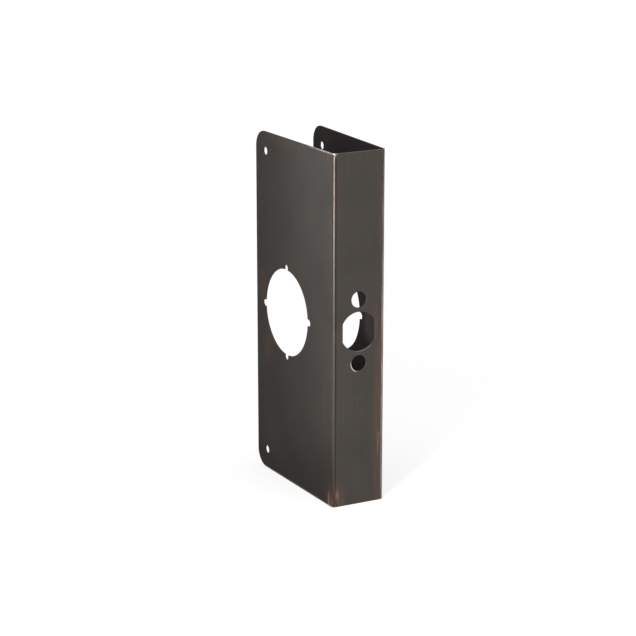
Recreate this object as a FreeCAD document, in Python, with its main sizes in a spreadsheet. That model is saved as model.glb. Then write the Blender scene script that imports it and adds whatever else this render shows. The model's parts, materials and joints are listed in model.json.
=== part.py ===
import FreeCAD, Part
import math
import os
import Sketcher

# Door reinforcer plate: one sheet, punched flat and folded into a channel that wraps a door's edge.
# The web covers the edge of the door, the two legs lie on its faces and a lock passes through both.
#
# Frame, in millimetres: the origin is the latch axis on the outer face of the web, halfway up.
# +Z is up, -Y points out of the door's edge and the legs run towards +Y, one on each side of x = 0.

# Driving dimensions: name, value, what it measures
SIZES = [
    ("plate_height", 228.6, "top edge to bottom edge"),
    ("door_thickness", 34.925, "inside width between the legs, at the inside corners"),
    ("sheet_thickness", 0.91, "20 gauge sheet"),
    ("bend_inside_radius", 1.3, "inside radius of both folds"),
    ("leg_flare", 1.7, "degrees that each leg stands open, so that the channel slips on"),
    ("corner_radius", 11.0, "free corners of the legs"),
    ("backset", 60.325, "edge of the door to the axis of the lock"),
    ("bore_diameter", 57.15, "cross bore that the lock passes through"),
    ("notch_diameter", 4.8, "width of the four round notches in the bore's rim"),
    ("notch_depth", 3.3, "how far a notch reaches beyond the bore's rim"),
    ("edge_margin", 8.49, "metal left between a notch and the free edge of a leg"),
    ("latch_diameter", 25.4, "latch hole, across its arcs"),
    ("latch_flat_depth", 1.4, "how far each upright flat of the latch hole cuts into the round"),
    ("latch_screw_diameter", 10.4, "clearance for the countersunk screws of the latch's own face"),
    ("latch_screw_gap", 2.7375, "metal left between the latch hole and a latch screw hole"),
    ("leg_screw_diameter", 5.4, "holes near the free corners of the legs"),
    ("leg_screw_from_edge", 12.7, "free edge of the leg to the screw hole"),
    ("leg_screw_from_end", 12.7, "top or bottom edge to the screw hole"),
    ("rim_roll_radius", 0.3, "rolled-over outer rim that the punch leaves on the web's holes"),
]

# Worked out from them: the lock's axis and the free edge, both from the outer face of the web,
# and the distances between the latch hole's flats and between the latch screws
LOCK_AXIS = "Sizes.sheet_thickness + Sizes.backset"
LEG_DEPTH = f"{LOCK_AXIS} + Sizes.bore_diameter / 2 + Sizes.notch_depth + Sizes.edge_margin"
LATCH_FLATS = "Sizes.latch_diameter - 2 * Sizes.latch_flat_depth"
LATCH_SCREWS = "Sizes.latch_diameter + Sizes.latch_screw_diameter + 2 * Sizes.latch_screw_gap"
NOTCH_COUNT = 4

# How constraints number the points of a line or an arc, up from 1, and a sketch's axes, down from -1
START, END, CENTRE = range(1, 4)
X_AXIS, Y_AXIS = range(-1, -3, -1)
ORIGIN = (X_AXIS, START)
UPRIGHT = FreeCAD.Vector(0, 0, 1)

# Two edges or faces nearer than this are in the same place
CLOSE = 1e-4

doc = FreeCAD.newDocument("door_reinforcer")

sheet = doc.addObject("Spreadsheet::Sheet", "Sizes")
for row, (name, value, meaning) in enumerate(SIZES, start=1):
    sheet.set(f"A{row}", name)
    sheet.set(f"B{row}", str(value))
    sheet.set(f"C{row}", meaning)
    sheet.setAlias(f"B{row}", name)
doc.recompute()


def value_of(expression):
    """What an expression of driving dimensions comes to, for the first placing of a sketch's lines."""
    return float(sheet.evalExpression(expression))


def point(x, y):
    """A point in a sketch."""
    return FreeCAD.Vector(x, y, 0)


def new_sketch(body, name, plane_role):
    """An empty sketch on one of the body's own origin planes."""
    sketch = body.newObject("Sketcher::SketchObject", name)
    plane = next(f for f in body.Origin.OriginFeatures if f.Role == plane_role)
    sketch.AttachmentSupport = (plane, "")
    sketch.MapMode = "FlatFace"
    return sketch


def relate(sketch, kind, *arguments):
    """A geometric constraint, which has no size."""
    sketch.addConstraint(Sketcher.Constraint(kind, *arguments))


def dimension(sketch, name, kind, arguments, expression):
    """A dimension with a name of its own, driven by the sheet."""
    start_value = value_of(expression)
    if kind == "Angle":
        start_value = math.radians(start_value)
    index = sketch.addConstraint(Sketcher.Constraint(kind, *arguments, start_value))
    sketch.renameConstraint(index, name)
    sketch.setExpression(f"Constraints.{name}", expression)


def cut_through(body, name, sketch, both_ways):
    """Punches a sketch's outline right through, from its plane into the part or to both sides."""
    pocket = body.newObject("PartDesign::Pocket", name)
    pocket.Profile = sketch
    pocket.SideType = "Symmetric" if both_ways else "One side"
    pocket.Type = "ThroughAll"
    doc.recompute()
    return pocket


def fold_profile(body):
    """The folded section seen from above: web, two folds and two legs, one sheet thickness all round."""
    sketch = new_sketch(body, "fold_profile", "XY_Plane")
    wall = value_of("Sizes.sheet_thickness")
    inner_radius = value_of("Sizes.bend_inside_radius")
    outer_radius = inner_radius + wall
    flare = math.radians(value_of("Sizes.leg_flare"))
    half_inside = value_of("Sizes.door_thickness") / 2
    depth = value_of(LEG_DEPTH)
    # The fold's centre keeps the inside radius from both the web and the leaning leg
    centre_y = wall + inner_radius
    centre_x = half_inside + inner_radius * (math.sin(flare) - 1) / math.cos(flare)

    def add(geometry, construction=False):
        return sketch.addGeometry(geometry, construction)

    web_outer = add(Part.LineSegment(point(-centre_x, 0), point(centre_x, 0)))
    web_inner = add(Part.LineSegment(point(-centre_x, wall), point(centre_x, wall)))
    relate(sketch, "Horizontal", web_outer)
    relate(sketch, "Horizontal", web_inner)
    relate(sketch, "PointOnObject", web_outer, START, X_AXIS)
    dimension(
        sketch, "wall", "DistanceY", (web_outer, START, web_inner, START), "Sizes.sheet_thickness"
    )

    for side, web_end in ((1, END), (-1, START)):
        label = "right" if side > 0 else "left"
        centre = point(side * centre_x, centre_y)

        def on_fold(radius, angle):
            return centre + point(side * radius * math.cos(angle), radius * math.sin(angle))

        def fold(radius):
            """The quarter turn of one fold, from the web round to the leg."""
            middle = -(math.pi / 2 + flare) / 2
            ends = (on_fold(radius, -math.pi / 2), on_fold(radius, middle), on_fold(radius, -flare))
            return Part.Arc(*ends)

        def leg_point(radius, run):
            start = on_fold(radius, -flare)
            return start + point(side * run * math.sin(flare), run * math.cos(flare))

        run = (depth - centre_y) / math.cos(flare)
        leg_outer = add(Part.LineSegment(on_fold(outer_radius, -flare), leg_point(outer_radius, run)))
        leg_inner = add(Part.LineSegment(on_fold(inner_radius, -flare), leg_point(inner_radius, run)))
        leg_edge = add(Part.LineSegment(leg_point(outer_radius, run), leg_point(inner_radius, run)))
        fold_outer = add(fold(outer_radius))
        fold_inner = add(fold(inner_radius))
        corner = add(Part.Point(point(side * half_inside, wall)), True)
        # An arc drawn clockwise is stored turned round, so the web's end differs from side to side
        web_side, leg_side = (START, END) if side > 0 else (END, START)

        relate(sketch, "Tangent", web_outer, web_end, fold_outer, web_side)
        relate(sketch, "Tangent", web_inner, web_end, fold_inner, web_side)
        relate(sketch, "Tangent", leg_outer, START, fold_outer, leg_side)
        relate(sketch, "Tangent", leg_inner, START, fold_inner, leg_side)
        relate(sketch, "Coincident", fold_outer, CENTRE, fold_inner, CENTRE)
        relate(sketch, "Coincident", leg_outer, END, leg_edge, START)
        relate(sketch, "Coincident", leg_inner, END, leg_edge, END)
        relate(sketch, "Parallel", leg_outer, leg_inner)
        relate(sketch, "Perpendicular", leg_edge, leg_outer)
        relate(sketch, "PointOnObject", corner, START, web_inner)
        relate(sketch, "PointOnObject", corner, START, leg_inner)
        dimension(sketch, f"fold_{label}", "Radius", (fold_inner,), "Sizes.bend_inside_radius")
        dimension(
            sketch, f"depth_{label}", "DistanceY", (*ORIGIN, leg_outer, END), LEG_DEPTH
        )
        across = (*ORIGIN, corner, START) if side > 0 else (corner, START, *ORIGIN)
        dimension(sketch, f"inside_{label}", "DistanceX", across, "Sizes.door_thickness / 2")
        lean = "90 - Sizes.leg_flare" if side > 0 else "90 + Sizes.leg_flare"
        dimension(sketch, f"lean_{label}", "Angle", (leg_outer,), lean)
    return sketch


def bore_outline(body):
    """The lock's round bore. Its sketch has its origin on the lock's own axis."""
    sketch = new_sketch(body, "bore_outline", "YZ_Plane")
    sketch.setExpression("AttachmentOffset.Base.x", LOCK_AXIS)
    circle = sketch.addGeometry(Part.Circle(point(0, 0), UPRIGHT, value_of("Sizes.bore_diameter") / 2))
    relate(sketch, "Coincident", circle, CENTRE, *ORIGIN)
    dimension(sketch, "bore", "Diameter", (circle,), "Sizes.bore_diameter")
    return sketch


def notch_outline(body):
    """One round notch at the top of the bore's rim, in a sketch that turns about the lock's axis."""
    sketch = new_sketch(body, "notch_outline", "YZ_Plane")
    sketch.setExpression("AttachmentOffset.Base.x", LOCK_AXIS)
    reach = "Sizes.bore_diameter / 2 + Sizes.notch_depth - Sizes.notch_diameter / 2"
    centre = point(0, value_of(reach))
    circle = sketch.addGeometry(Part.Circle(centre, UPRIGHT, value_of("Sizes.notch_diameter") / 2))
    relate(sketch, "PointOnObject", circle, CENTRE, Y_AXIS)
    dimension(sketch, "reach", "DistanceY", (*ORIGIN, circle, CENTRE), reach)
    dimension(sketch, "notch", "Diameter", (circle,), "Sizes.notch_diameter")
    return sketch


def latch_outline(body):
    """The latch hole in the web: a round hole with an upright flat on each side."""
    sketch = new_sketch(body, "latch_outline", "XZ_Plane")
    radius = value_of("Sizes.latch_diameter") / 2
    half_flats = value_of(LATCH_FLATS) / 2
    half_tall = math.sqrt(radius**2 - half_flats**2)
    right_flat = sketch.addGeometry(
        Part.LineSegment(point(half_flats, -half_tall), point(half_flats, half_tall))
    )
    left_flat = sketch.addGeometry(
        Part.LineSegment(point(-half_flats, half_tall), point(-half_flats, -half_tall))
    )
    top_arc = sketch.addGeometry(
        Part.Arc(point(half_flats, half_tall), point(0, radius), point(-half_flats, half_tall))
    )
    bottom_arc = sketch.addGeometry(
        Part.Arc(point(-half_flats, -half_tall), point(0, -radius), point(half_flats, -half_tall))
    )
    relate(sketch, "Coincident", right_flat, END, top_arc, START)
    relate(sketch, "Coincident", top_arc, END, left_flat, START)
    relate(sketch, "Coincident", left_flat, END, bottom_arc, START)
    relate(sketch, "Coincident", bottom_arc, END, right_flat, START)
    relate(sketch, "Coincident", top_arc, CENTRE, *ORIGIN)
    relate(sketch, "Coincident", bottom_arc, CENTRE, *ORIGIN)
    relate(sketch, "Vertical", right_flat)
    relate(sketch, "Vertical", left_flat)
    relate(sketch, "Horizontal", right_flat, END, left_flat, START)
    relate(sketch, "Equal", top_arc, bottom_arc)
    dimension(sketch, "arcs", "Diameter", (top_arc,), "Sizes.latch_diameter")
    dimension(sketch, "flats", "DistanceX", (left_flat, START, right_flat, END), LATCH_FLATS)
    return sketch


def hole_pair(body, name, plane_role, diameter, up, across=None):
    """Two round holes of one size, as far above the latch axis as below it."""
    sketch = new_sketch(body, name, plane_role)
    middle = value_of(across) if across else 0
    rise = value_of(up)
    radius = value_of(diameter) / 2
    upper = sketch.addGeometry(Part.Circle(point(middle, rise), UPRIGHT, radius))
    lower = sketch.addGeometry(Part.Circle(point(middle, -rise), UPRIGHT, radius))
    relate(sketch, "Equal", upper, lower)
    relate(sketch, "Symmetric", upper, CENTRE, lower, CENTRE, X_AXIS)
    if across:
        dimension(sketch, "across", "DistanceX", (*ORIGIN, upper, CENTRE), across)
    else:
        relate(sketch, "PointOnObject", upper, CENTRE, Y_AXIS)
    dimension(sketch, "up", "DistanceY", (*ORIGIN, upper, CENTRE), up)
    dimension(sketch, "hole", "Diameter", (upper,), diameter)
    return sketch


def free_corner_edges(shape):
    """The four short edges across the sheet where a leg's free edge meets the top or the bottom."""
    names = []
    for number, edge in enumerate(shape.Edges, start=1):
        across_sheet = abs(edge.Length - value_of("Sizes.sheet_thickness")) < CLOSE
        at_free_edge = edge.CenterOfMass.y > value_of(LEG_DEPTH) / 2
        at_end = abs(abs(edge.CenterOfMass.z) - value_of("Sizes.plate_height") / 2) < CLOSE
        if across_sheet and at_free_edge and at_end:
            names.append(f"Edge{number}")
    return names


def web_rim_edges(shape):
    """The edges of every hole in the web, on its outer face."""
    names = []
    for number, edge in enumerate(shape.Edges, start=1):
        box = edge.BoundBox
        on_outer_face = abs(box.YMin) < CLOSE and abs(box.YMax) < CLOSE
        inside_outline = max(abs(box.ZMin), abs(box.ZMax)) < value_of("Sizes.plate_height") / 2 - CLOSE
        if on_outer_face and inside_outline:
            names.append(f"Edge{number}")
    return names


def plate_body():
    """The whole plate: the folded channel, its rounded corners and everything punched through it."""
    body = doc.addObject("PartDesign::Body", "reinforcer_plate")
    body.Label = "reinforcer_plate"

    # The folded sheet, as tall above the latch axis as below it
    channel = body.newObject("PartDesign::Pad", "channel")
    channel.Profile = fold_profile(body)
    channel.SideType = "Symmetric"
    channel.setExpression("Length", "Sizes.plate_height")
    doc.recompute()

    # Free corners: the four short edges where a leg's free edge meets the top or the bottom
    corners = body.newObject("PartDesign::Fillet", "free_corners")
    corners.Base = (channel, free_corner_edges(channel.Shape))
    corners.setExpression("Radius", "Sizes.corner_radius")

    # Cross bore for the lock, through both legs, and the notches round it
    bore = cut_through(body, "cross_bore", bore_outline(body), both_ways=True)
    notch_sketch = notch_outline(body)
    notch = cut_through(body, "notch", notch_sketch, both_ways=True)
    notches = body.newObject("PartDesign::PolarPattern", "notches")
    notches.Originals = [notch]
    notches.Axis = (notch_sketch, ["N_Axis"])
    notches.Angle = 360
    notches.Occurrences = NOTCH_COUNT
    body.Tip = notches
    doc.recompute()

    # The web's holes: the latch bolt in the middle, a screw above and below it
    latch = cut_through(body, "latch_hole", latch_outline(body), both_ways=False)
    latch_screw_outline = hole_pair(
        body,
        "latch_screw_outline",
        "XZ_Plane",
        diameter="Sizes.latch_screw_diameter",
        up=f"({LATCH_SCREWS}) / 2",
    )
    latch_screws = cut_through(body, "latch_screws", latch_screw_outline, both_ways=False)

    # Small screw holes near the free corners, through both legs
    leg_screw_outline = hole_pair(
        body,
        "leg_screw_outline",
        "YZ_Plane",
        diameter="Sizes.leg_screw_diameter",
        up="Sizes.plate_height / 2 - Sizes.leg_screw_from_end",
        across=f"{LEG_DEPTH} - Sizes.leg_screw_from_edge",
    )
    leg_screws = cut_through(body, "leg_screws", leg_screw_outline, both_ways=True)

    # The punch drew the web's outer face a little way down into each of its holes
    rims = body.newObject("PartDesign::Fillet", "rolled_rims")
    rims.Base = (leg_screws, web_rim_edges(leg_screws.Shape))
    rims.setExpression("Radius", "Sizes.rim_roll_radius")
    body.Tip = rims
    doc.recompute()

    for feature in (corners, bore, notch, notches, latch, latch_screws, leg_screws, rims):
        if feature.Shape.Volume >= feature.BaseFeature.Shape.Volume:
            raise RuntimeError(f"{feature.Name} takes nothing away from the plate")
    return body


plate = plate_body()

for thing in doc.Objects:
    if "Invalid" in thing.State or "Error" in thing.State:
        raise RuntimeError(f"{thing.Name} has failed: {thing.State}")
    if thing.TypeId == "Sketcher::SketchObject" and not thing.FullyConstrained:
        raise RuntimeError(f"{thing.Name} isn't fully constrained")
if plate.Shape.isNull() or not plate.Shape.isValid() or len(plate.Shape.Solids) != 1:
    raise RuntimeError("the plate isn't one valid solid")

os.makedirs("parts", exist_ok=True)
plate.Shape.exportStep(f"parts/{plate.Label}.step")
print(f"{plate.Label}: {plate.Shape.Volume:.1f} cubic mm, {plate.Shape.BoundBox}")
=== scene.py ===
import json
import math

import bpy
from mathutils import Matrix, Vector


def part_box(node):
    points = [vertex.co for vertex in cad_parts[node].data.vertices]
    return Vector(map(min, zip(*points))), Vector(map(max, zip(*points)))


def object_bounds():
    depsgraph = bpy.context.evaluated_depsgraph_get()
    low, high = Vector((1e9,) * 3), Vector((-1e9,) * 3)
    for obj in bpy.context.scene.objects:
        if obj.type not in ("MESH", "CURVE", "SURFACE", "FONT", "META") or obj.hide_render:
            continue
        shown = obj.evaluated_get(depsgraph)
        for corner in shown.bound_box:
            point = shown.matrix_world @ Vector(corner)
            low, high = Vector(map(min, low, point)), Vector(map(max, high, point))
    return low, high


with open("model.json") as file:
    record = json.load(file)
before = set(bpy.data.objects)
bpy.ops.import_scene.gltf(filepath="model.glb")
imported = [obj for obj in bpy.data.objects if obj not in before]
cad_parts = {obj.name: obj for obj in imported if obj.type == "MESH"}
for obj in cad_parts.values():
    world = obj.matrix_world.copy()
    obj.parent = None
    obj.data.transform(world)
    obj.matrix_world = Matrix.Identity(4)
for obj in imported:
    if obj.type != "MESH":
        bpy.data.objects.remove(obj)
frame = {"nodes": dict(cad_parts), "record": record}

cad_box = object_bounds()

# The plate: one sheet of 20 gauge steel, punched flat and folded in a press brake into a channel that slips
# over the edge of a door. It is one piece, with a web in front and a leg on each side. All its sizes here
# are in millimetres, and most come from the frame.
plate = frame["nodes"]["reinforcer_plate"]
mounts = {mount["name"]: mount for mount in frame["record"]["mounts"]}


def size_of(mount, name):
    """One of a mount's own dimensions, in millimetres."""
    return mounts[mount]["dims"][name]


def place_of(mount, axis):
    """Where a mount is along one axis of the frame, in millimetres. Axis 0 is x."""
    return mounts[mount]["pos_m"][axis] * 1000


plate_depth, half_height = (corner * 1000 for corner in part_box("reinforcer_plate")[1][1:])
sheet_thickness = place_of("door_edge_seat", 1)
door_thickness = 34.925
half_web = door_thickness / 2 + sheet_thickness
leg_flare = math.radians(1.7)
fold_inside_radius = 1.3
fold_radius = fold_inside_radius + sheet_thickness
latch_hole_radius = 12.7
latch_hole_half_width = 11.3
lock_axis = place_of("cross_bore", 1)
leg_screw_axis = place_of("right_leg_screws", 1)
leg_screw_height = size_of("right_leg_screws", "spacing_y_mm") / 2
latch_screw_height = size_of("latch_screws", "spacing_y_mm") / 2

# The finish: oil-rubbed bronze. The steel is copper plated, darkened to a brown-black patina and rubbed by
# hand along the grain, so that it is satin, a little streaky, and worn to copper along the folds, at the
# corners and round the holes. Inside, where no hand rubbed it, it stays dark and dull.
PATINA_DARK = "#332e2a"
PATINA_LIGHT = "#3e3934"
PATINA_INSIDE = "#352f2c"
# Painted dark reflection: the near-black line up the web where each fold meets it
PAINTED_DARK_REFLECTION = "#161413"
COPPER_BROWN = "#563f34"
COPPER_BRIGHT = "#886f63"
# Bare metal where cut edges are worn through. The same colour paints highlights on a screw hole's rim and
# beside the right fold
BARE_METAL_AND_HIGHLIGHT = "#c9bfb8"

# Real strokes of the rubbing pad are about 0.2 mm apart, too fine to show, so they are drawn coarser. The
# blotches are as wide as the rag that wiped the patina on.
STROKE_SPACING = 1.5
STROKE_LENGTH = 70
FLECK_SPACING = 1.4
FLECK_LENGTH = 22
BLOTCH_WIDTH = 32

# What hands and the carton have rubbed: centre and reach in millimetres, and how far through the patina
RUBBED = (
    ((16, 0, -62), (8, 5, 92), 0.9),
    ((17, 0, 75), (5, 4, 50), 0.6),
    ((11, 0, 4), (7, 4, 17), 0.55),
    ((-15, 0, 90), (6, 4, 34), 0.3),
    ((-14, 0, -2), (5, 3, 12), 0.3),
    ((-16, 2, -112), (9, 12, 19), 1.0),
    ((-15.4, 0, -114), (0.7, 1, 26), 1.1),
    ((-19, 3, -114), (5, 8, 24), 1.35),
    ((-18, 3, 112), (4, 9, 8), 0.5),
    ((-20, 66, 112), (4, 34, 8), 0.55),
    ((-21, 94, 12), (4, 8, 18), 0.6),
    ((-20, 86, -27), (4, 10, 18), 0.65),
    ((18, 4, -112), (5, 10, 12), 0.8),
    ((18, 4, 112), (5, 10, 10), 0.8),
)

# Where cut edges are worn right through to the metal, and where highlights are painted in the same light
# colour, given in the same way
BARED_AND_HIGHLIGHTS = (
    # A painted highlight: the light crescent on the lower-left rim of a web screw hole
    ((-5, 0, -23.5), (6, 2, 5), 1.6),
    ((4, 0, -12), (10, 2, 4), 0.15),
    ((-18, 8, 114), (4, 32, 3), 0.8),
    # A painted highlight: the light line all along beside the right fold
    ((17, 0, -20), (4, 3, 150), 0.5),
)

# How wide the wear is along cut edges, along their bare stretches and on the folds, and how far it goes
EDGE_WEAR_WIDTH = 0.9
EDGE_WEAR = 0.6
BARE_EDGE_WIDTH = 1.0
FOLD_SHINE_WIDTH = 2.4
FOLD_WEAR = 0.06

# How far in from the plate's sides the web carries its painted highlight line and its painted dark
# reflection line
HIGHLIGHT_LINE_INSET = 1.7
DARK_LINE_INSET = 1.95


def colour(hex_code):
    """An sRGB hex colour as the linear colour that a shader takes, with its alpha."""
    parts = [int(hex_code[start:start + 2], 16) / 255 for start in (1, 3, 5)]
    return (*(p / 12.92 if p <= 0.04045 else ((p + 0.055) / 1.055) ** 2.4 for p in parts), 1.0)


def emptied(owner):
    """A material or a world that is ready for its own nodes."""
    owner.use_nodes = True
    owner.node_tree.nodes.clear()
    return owner


def add(material, kind, settings, inputs):
    """Adds a node with its settings and sets its inputs, each to a value or to another node's output."""
    tree = material.node_tree
    node = tree.nodes.new(kind)
    for name, value in settings.items():
        setattr(node, name, value)
    for socket, value in inputs.items():
        if isinstance(value, bpy.types.NodeSocket):
            tree.links.new(value, node.inputs[socket])
        else:
            node.inputs[socket].default_value = value
    return node.outputs


bronze = emptied(bpy.data.materials.new("oil_rubbed_bronze"))

# Where a point is, in millimetres, and how far it is from the folds, the ends and the free edges
coordinates = add(bronze, "ShaderNodeTexCoord", {}, {})["Object"]
place = add(bronze, "ShaderNodeVectorMath", {"operation": "SCALE"}, {0: coordinates, "Scale": 1000})[0]
across = add(bronze, "ShaderNodeSeparateXYZ", {}, {0: place})
both_sides = add(bronze, "ShaderNodeVectorMath", {"operation": "ABSOLUTE"}, {0: place})[0]
margins = add(
    bronze,
    "ShaderNodeVectorMath",
    {"operation": "SUBTRACT"},
    {0: (half_web, plate_depth, half_height), 1: both_sides},
)[0]
margin = add(bronze, "ShaderNodeSeparateXYZ", {}, {0: margins})
from_fold = add(bronze, "ShaderNodeMath", {"operation": "MAXIMUM"}, {0: margin["X"], 1: across["Y"]})[0]

# What is inside the channel: 0 on the outer skin, which is round at the folds, and 1 on the inner one. It
# changes halfway through the sheet.
under_leg = add(
    bronze,
    "ShaderNodeMath",
    {"operation": "MULTIPLY_ADD"},
    {0: across["Y"], 1: math.tan(leg_flare), 2: margin["X"]},
)[0]
under_skin = add(bronze, "ShaderNodeCombineXYZ", {}, {0: under_leg, 1: across["Y"], 2: fold_radius})[0]
to_centre = add(
    bronze,
    "ShaderNodeVectorMath",
    {"operation": "SUBTRACT"},
    {0: (fold_radius, fold_radius, fold_radius), 1: under_skin},
)[0]
to_centre = add(bronze, "ShaderNodeVectorMath", {"operation": "MAXIMUM"}, {0: to_centre, 1: (0, 0, 0)})[0]
from_centre = add(bronze, "ShaderNodeVectorMath", {"operation": "LENGTH"}, {0: to_centre})["Value"]
inside = add(
    bronze,
    "ShaderNodeMapRange",
    {"interpolation_type": "SMOOTHSTEP"},
    {0: from_centre, 1: fold_radius - sheet_thickness * 0.35, 2: fold_radius - sheet_thickness * 0.75},
)[0]
outside = add(bronze, "ShaderNodeMath", {"operation": "SUBTRACT"}, {0: 1.0, 1: inside})[0]

# How far a point is from the nearest cut edge. Each kind of hole is seen along its own axis: the web's
# holes along Y, the legs' along X. The latch hole is round with two upright flats.
along_y = add(bronze, "ShaderNodeVectorMath", {"operation": "MULTIPLY"}, {0: both_sides, 1: (1, 0, 1)})[0]
along_x = add(bronze, "ShaderNodeVectorMath", {"operation": "MULTIPLY"}, {0: both_sides, 1: (0, 1, 1)})[0]
ROUND_HOLES = (
    (along_x, (0, lock_axis, 0), size_of("cross_bore", "r_mm")),
    (along_x, (0, leg_screw_axis, leg_screw_height), size_of("right_leg_screws", "hole_r_mm")),
    (along_y, (0, 0, latch_screw_height), size_of("latch_screws", "hole_r_mm")),
)
from_edge = add(bronze, "ShaderNodeMath", {"operation": "MINIMUM"}, {0: margin["Y"], 1: margin["Z"]})[0]
from_axis = add(bronze, "ShaderNodeVectorMath", {"operation": "LENGTH"}, {0: along_y})["Value"]
from_arc = add(bronze, "ShaderNodeMath", {"operation": "SUBTRACT"}, {0: from_axis, 1: latch_hole_radius})[0]
beside_flat = half_web - latch_hole_half_width
from_flat = add(bronze, "ShaderNodeMath", {"operation": "SUBTRACT"}, {0: beside_flat, 1: margin["X"]})[0]
from_rim = add(bronze, "ShaderNodeMath", {"operation": "MAXIMUM"}, {0: from_arc, 1: from_flat})[0]
from_edge = add(bronze, "ShaderNodeMath", {"operation": "MINIMUM"}, {0: from_edge, 1: from_rim})[0]
for along, centre, radius in ROUND_HOLES:
    spread = add(bronze, "ShaderNodeVectorMath", {"operation": "DISTANCE"}, {0: along, 1: centre})["Value"]
    from_rim = add(bronze, "ShaderNodeMath", {"operation": "SUBTRACT"}, {0: spread, 1: radius})[0]
    from_edge = add(bronze, "ShaderNodeMath", {"operation": "MINIMUM"}, {0: from_edge, 1: from_rim})[0]

# The grain runs up and down. The strokes are even, the flecks are what the pad skipped, and the patina is
# blotchy as well.
strokes_scale = (1 / STROKE_SPACING, 1 / STROKE_SPACING, 1 / STROKE_LENGTH)
flecks_scale = (1 / FLECK_SPACING, 1 / FLECK_SPACING, 1 / FLECK_LENGTH)
strokes_at = add(bronze, "ShaderNodeVectorMath", {"operation": "MULTIPLY"}, {0: place, 1: strokes_scale})[0]
strokes = add(bronze, "ShaderNodeTexNoise", {}, {"Vector": strokes_at, "Scale": 1, "Detail": 3})[0]
blotches = add(
    bronze, "ShaderNodeTexNoise", {}, {"Vector": place, "Scale": 1 / BLOTCH_WIDTH, "Detail": 4}
)[0]
flecks_at = add(bronze, "ShaderNodeVectorMath", {"operation": "MULTIPLY"}, {0: place, 1: flecks_scale})[0]
flecks = add(
    bronze, "ShaderNodeTexNoise", {}, {"Vector": flecks_at, "Scale": 1, "Detail": 5, "Roughness": 0.65}
)[0]


def handled(patches):
    """How much handling each point has had, from a list of patches as above."""
    most = 0.0
    for centre, reach, share in patches:
        offset = add(bronze, "ShaderNodeVectorMath", {"operation": "SUBTRACT"}, {0: place, 1: centre})[0]
        scaled = add(bronze, "ShaderNodeVectorMath", {"operation": "DIVIDE"}, {0: offset, 1: reach})[0]
        spread = add(bronze, "ShaderNodeVectorMath", {"operation": "LENGTH"}, {0: scaled})["Value"]
        patch = add(
            bronze,
            "ShaderNodeMapRange",
            {"interpolation_type": "SMOOTHSTEP"},
            {0: spread, 1: 1.0, 2: 0.25, 3: 0.0, 4: share},
        )[0]
        most = add(bronze, "ShaderNodeMath", {"operation": "MAXIMUM"}, {0: most, 1: patch})[0]
    return most


def upright_line(inset, reach, core, strength):
    """A soft line up each side of the web: its place, half its whole width and half its full part."""
    off_line = add(bronze, "ShaderNodeMath", {"operation": "SUBTRACT"}, {0: margin["X"], 1: inset})[0]
    off_line = add(bronze, "ShaderNodeMath", {"operation": "ABSOLUTE"}, {0: off_line})[0]
    return add(bronze, "ShaderNodeMapRange", {}, {0: off_line, 1: reach, 2: core, 3: 0.0, 4: strength})[0]


# How far the patina is rubbed through: the cut edges, the patches above, and a little along the folds. The
# flecks make it uneven, and the inside has none of it.
rubbed = add(
    bronze,
    "ShaderNodeMapRange",
    {"interpolation_type": "SMOOTHSTEP"},
    {0: from_edge, 1: EDGE_WEAR_WIDTH, 2: 0.0, 3: 0.0, 4: EDGE_WEAR},
)[0]
rubbed = add(bronze, "ShaderNodeMath", {"operation": "MAXIMUM"}, {0: rubbed, 1: handled(RUBBED)})[0]
fold_line = add(
    bronze,
    "ShaderNodeMapRange",
    {"interpolation_type": "SMOOTHSTEP"},
    {0: from_fold, 1: FOLD_SHINE_WIDTH, 2: 1.0},
)[0]
fold_wear = add(bronze, "ShaderNodeMath", {"operation": "MULTIPLY"}, {0: fold_line, 1: FOLD_WEAR})[0]
rubbed = add(bronze, "ShaderNodeMath", {"operation": "MAXIMUM"}, {0: rubbed, 1: fold_wear})[0]
uneven = add(bronze, "ShaderNodeMapRange", {}, {0: flecks, 1: 0.4, 2: 0.64, 3: 0.3, 4: 1.05})[0]
wear = add(bronze, "ShaderNodeMath", {"operation": "MULTIPLY"}, {0: rubbed, 1: uneven})[0]
wear = add(bronze, "ShaderNodeMath", {"operation": "MULTIPLY", "use_clamp": True}, {0: wear, 1: outside})[0]

# Where even the copper is gone: short stretches of the cut edges. The same light colour also paints
# highlights: a thin light line beside the right fold and a crescent on a screw hole's rim
cut_edge = add(
    bronze,
    "ShaderNodeMapRange",
    {"interpolation_type": "SMOOTHSTEP"},
    {0: from_edge, 1: BARE_EDGE_WIDTH, 2: 0.3},
)[0]
# Painted highlight: a thin light line up the web just inside each fold, kept to the right fold by the
# patches above
highlight_line = upright_line(HIGHLIGHT_LINE_INSET, 0.7, 0.2, 1.0)
highlight_line = add(bronze, "ShaderNodeMath", {"operation": "MULTIPLY"}, {0: highlight_line, 1: outside})[0]
bare_and_highlight = add(bronze, "ShaderNodeMath", {"operation": "MAXIMUM"}, {0: highlight_line, 1: cut_edge})[0]
bare_and_highlight = add(bronze, "ShaderNodeMath", {"operation": "MULTIPLY"}, {0: bare_and_highlight, 1: handled(BARED_AND_HIGHLIGHTS)})[0]
bare_and_highlight = add(bronze, "ShaderNodeMath", {"operation": "MULTIPLY", "use_clamp": True}, {0: bare_and_highlight, 1: uneven})[0]

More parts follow.
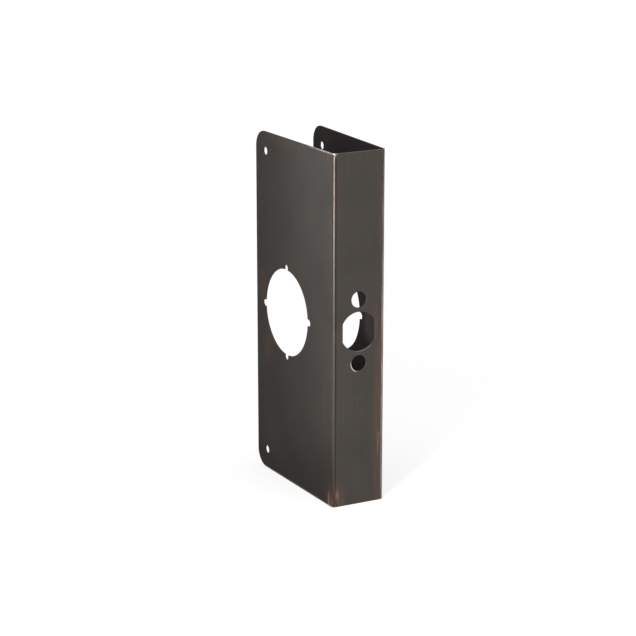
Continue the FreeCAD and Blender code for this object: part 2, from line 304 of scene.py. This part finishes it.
# The patina's colour. Blotches and strokes vary it. Where each fold meets the web, a near-black line is
# painted in as a painted dark reflection, not patina.
blotchy = add(
    bronze, "ShaderNodeMath", {"operation": "MULTIPLY_ADD"}, {0: strokes, 1: 0.4, 2: blotches}
)[0]
tone = add(bronze, "ShaderNodeMapRange", {}, {0: blotchy, 1: 0.45, 2: 0.95})[0]
patina = add(
    bronze,
    "ShaderNodeMix",
    {"data_type": "RGBA"},
    {0: tone, 6: colour(PATINA_DARK), 7: colour(PATINA_LIGHT)},
)[2]
patina = add(
    bronze, "ShaderNodeMix", {"data_type": "RGBA"}, {0: inside, 6: patina, 7: colour(PATINA_INSIDE)}
)[2]
# Painted dark reflection: a near-black line up the web just inside each fold
painted_dark_line = upright_line(DARK_LINE_INSET, 0.6, 0.15, 0.95)
patina = add(
    bronze, "ShaderNodeMix", {"data_type": "RGBA"}, {0: painted_dark_line, 6: patina, 7: colour(PAINTED_DARK_REFLECTION)}
)[2]

# The copper is brown where the patina is only thinned and bright where it is gone
polished = add(bronze, "ShaderNodeMapRange", {}, {0: wear, 1: 0.75, 2: 1.0})[0]
copper = add(
    bronze,
    "ShaderNodeMix",
    {"data_type": "RGBA"},
    {0: polished, 6: colour(COPPER_BROWN), 7: colour(COPPER_BRIGHT)},
)[2]
finish = add(bronze, "ShaderNodeMix", {"data_type": "RGBA"}, {0: wear, 6: patina, 7: copper})[2]
finish = add(bronze, "ShaderNodeMix", {"data_type": "RGBA"}, {0: bare_and_highlight, 6: finish, 7: colour(BARE_METAL_AND_HIGHLIGHT)})[2]

# Satin, smoother where the blotches are light and on the folds, and dull inside. Clean bronze would be all
# metal: this patina is a skin of oxide and oil over it, so it counts as half, and less inside.
ROUGH_DARK = 0.46
ROUGH_LIGHT = 0.38
FOLD_SHINE = -0.1
INSIDE_DULLNESS = 0.25
METALLIC_OUTSIDE = 0.5
METALLIC_INSIDE = 0.4
GRAIN_DEPTH = 0.0004
rough = add(bronze, "ShaderNodeMapRange", {}, {0: blotchy, 1: 0.4, 2: 1.0, 3: ROUGH_DARK, 4: ROUGH_LIGHT})[0]
for part, change in ((fold_line, FOLD_SHINE), (inside, INSIDE_DULLNESS)):
    rough = add(bronze, "ShaderNodeMath", {"operation": "MULTIPLY_ADD"}, {0: part, 1: change, 2: rough})[0]
metallic = add(bronze, "ShaderNodeMapRange", {}, {0: inside, 3: METALLIC_OUTSIDE, 4: METALLIC_INSIDE})[0]
height = add(bronze, "ShaderNodeMath", {"operation": "MULTIPLY_ADD"}, {0: strokes, 1: 0.6, 2: flecks})[0]
grain = add(bronze, "ShaderNodeBump", {}, {"Height": height, "Strength": 0.03, "Distance": GRAIN_DEPTH})[0]
metal = add(
    bronze,
    "ShaderNodeBsdfPrincipled",
    {},
    {"Base Color": finish, "Metallic": metallic, "Roughness": rough, "Normal": grain},
)[0]
add(bronze, "ShaderNodeOutputMaterial", {}, {"Surface": metal})

for material_slot in plate.material_slots:
    material_slot.material = bronze

# The floor: a pale sheet of studio paper that runs out past the view on every side. The camera and the
# metal see it white, and it keeps the plate's soft shadow. It glows a little more farther out, where less
# of the lamps' light reaches it.
PAPER_SIDE = 12.0
PAPER_GREY = (0.4, 0.4, 0.4, 1)
GLOW_NEAR = 0.68
GLOW_FAR = 0.8
NEAR_PLATE = 0.3
FAR_FROM_PLATE = 1.2
floor_height = cad_box[0].z


def seen_by_eye(owner):
    """1 for a ray from the camera, off gloss or through glass, and 0 for light on its way to the plate."""
    ray = add(owner, "ShaderNodeLightPath", {}, {})
    directly = ray["Is Camera Ray"]
    for way in ("Is Glossy Ray", "Is Transmission Ray"):
        directly = add(owner, "ShaderNodeMath", {"operation": "MAXIMUM"}, {0: directly, 1: ray[way]})[0]
    return directly


def studio_sheet(name, corners, faces, material):
    """A flat or creased sheet that belongs to the studio and not to the plate."""
    mesh = bpy.data.meshes.new(name)
    mesh.from_pydata(corners, [], faces)
    mesh.materials.append(material)
    sheet = bpy.data.objects.new(name, mesh)
    bpy.context.scene.collection.objects.link(sheet)
    return sheet


paper = emptied(bpy.data.materials.new("white_paper"))
on_paper = add(paper, "ShaderNodeTexCoord", {}, {})["Object"]
from_plate = add(paper, "ShaderNodeVectorMath", {"operation": "LENGTH"}, {0: on_paper})["Value"]
glow = add(
    paper,
    "ShaderNodeMapRange",
    {},
    {0: from_plate, 1: NEAR_PLATE, 2: FAR_FROM_PLATE, 3: GLOW_NEAR, 4: GLOW_FAR},
)[0]
glow = add(paper, "ShaderNodeMath", {"operation": "MULTIPLY"}, {0: seen_by_eye(paper), 1: glow})[0]
lit = add(paper, "ShaderNodeBsdfDiffuse", {}, {"Color": PAPER_GREY})[0]
bright = add(paper, "ShaderNodeEmission", {}, {"Strength": glow})[0]
whole = add(paper, "ShaderNodeAddShader", {}, {0: lit, 1: bright})[0]
add(paper, "ShaderNodeOutputMaterial", {}, {"Surface": whole})

paper_edges = ((-1, -1), (1, -1), (1, 1), (-1, 1))
studio_sheet(
    "studio_paper",
    [(x * PAPER_SIDE / 2, y * PAPER_SIDE / 2, floor_height) for x, y in paper_edges],
    [(0, 1, 2, 3)],
    paper,
)

# The studio's walls and ceiling, painted white: white to the camera and in the metal, and a soft even
# light on everything else
WALLS_AS_LIGHT = 0.55
WALLS_AS_SEEN = 1.0
studio = emptied(bpy.data.worlds.new("studio"))
bpy.context.scene.world = studio
strength = add(
    studio, "ShaderNodeMapRange", {}, {0: seen_by_eye(studio), 3: WALLS_AS_LIGHT, 4: WALLS_AS_SEEN}
)[0]
air = add(studio, "ShaderNodeBackground", {}, {"Color": (1, 1, 1, 1), "Strength": strength})[0]
add(studio, "ShaderNodeOutputWorld", {}, {"Surface": air})


# The lamps: soft boxes, each with a white cloth in front. Each is given by the direction in which it
# stands from the plate, its distance, its width and height in metres, and how bright its cloth is.
def soft_box(name, towards, distance, width, height, brightness):
    """A soft box that faces the middle of the plate. A brightness of 1 is as bright as white paper."""
    lamp = bpy.data.lights.new(name, "AREA")
    lamp.shape = "RECTANGLE"
    lamp.size = width
    lamp.size_y = height
    lamp.energy = brightness * math.pi * width * height
    box = bpy.data.objects.new(name, lamp)
    bpy.context.scene.collection.objects.link(box)
    middle = (cad_box[0] + cad_box[1]) / 2
    direction = Vector(towards).normalized()
    box.location = middle + direction * distance
    box.rotation_euler = direction.to_track_quat("Z", "Y").to_euler()
    box.visible_camera = False


# A narrow one close in front draws the light along the near fold, one on each side lights a leg, and a
# wide dim one hangs over everything
soft_box("front_box", (-0.69, -0.7, 0.02), 0.455, 0.04, 0.13, 120.0)
soft_box("right_box", (0.87, -0.43, 0.17), 1.0, 0.3, 0.5, 5.0)
soft_box("left_box", (-0.78, 0.6, 0.06), 0.5, 0.12, 0.2, 2.0)
soft_box("top_box", (0.1, -0.3, 1.0), 1.6, 1.6, 1.6, 0.8)

# A dark grey card, creased once: half of it lies beside the near leg and half leans up behind the plate.
# Only reflections show it, and it keeps the free edge and the foot of that leg dark.
CARD_GREY = (0.2, 0.2, 0.2, 1)
card_foot = floor_height + 0.001
card_top = 0.13
CARD_CORNERS = (
    (-0.1, -0.03, card_foot),
    (-0.022, -0.03, card_foot),
    (-0.1, 0.12, card_foot),
    (0.02, 0.12, card_foot),
    (-0.06, 0.12, card_top),
    (0.02, 0.12, card_top),
)
grey = emptied(bpy.data.materials.new("grey_card"))
dull = add(grey, "ShaderNodeBsdfDiffuse", {}, {"Color": CARD_GREY})[0]
add(grey, "ShaderNodeOutputMaterial", {}, {"Surface": dull})
card = studio_sheet("dark_card", CARD_CORNERS, [(0, 1, 3, 2), (2, 3, 5, 4)], grey)
card.visible_camera = False
card.visible_diffuse = False
card.visible_shadow = False

# The camera: the photograph's own view, from the left front and a little above, with a long lens. Its
# angles are counted from straight in front, to the right and up, and were found from the plate's outlines.
AZIMUTH = math.radians(-27.496)
ELEVATION = math.radians(15.36)
DISTANCE = 1.33324
FOCAL_PIXELS = 2061.0
FRAME_PIXELS = 636
AIM_PIXEL = (321.317, 312.57)
SENSOR_WIDTH = 36.0
aim = Vector((0, 0.0508, 0))

back = Vector((
    math.sin(AZIMUTH) * math.cos(ELEVATION),
    -math.cos(AZIMUTH) * math.cos(ELEVATION),
    math.sin(ELEVATION),
))
right = Vector((math.cos(AZIMUTH), math.sin(AZIMUTH), 0))
up = back.cross(right)
metres_per_pixel = DISTANCE / FOCAL_PIXELS
camera_data = bpy.data.cameras.new("camera")
camera_data.sensor_width = SENSOR_WIDTH
camera_data.lens = FOCAL_PIXELS / FRAME_PIXELS * SENSOR_WIDTH
camera = bpy.data.objects.new("camera", camera_data)
camera.location = (
    aim
    + back * DISTANCE
    - right * (AIM_PIXEL[0] - FRAME_PIXELS / 2) * metres_per_pixel
    + up * (AIM_PIXEL[1] - FRAME_PIXELS / 2) * metres_per_pixel
)
camera.rotation_euler = back.to_track_quat("Z", "Y").to_euler()
bpy.context.scene.collection.objects.link(camera)
bpy.context.scene.camera = camera
bpy.context.scene.view_settings.view_transform = "Standard"
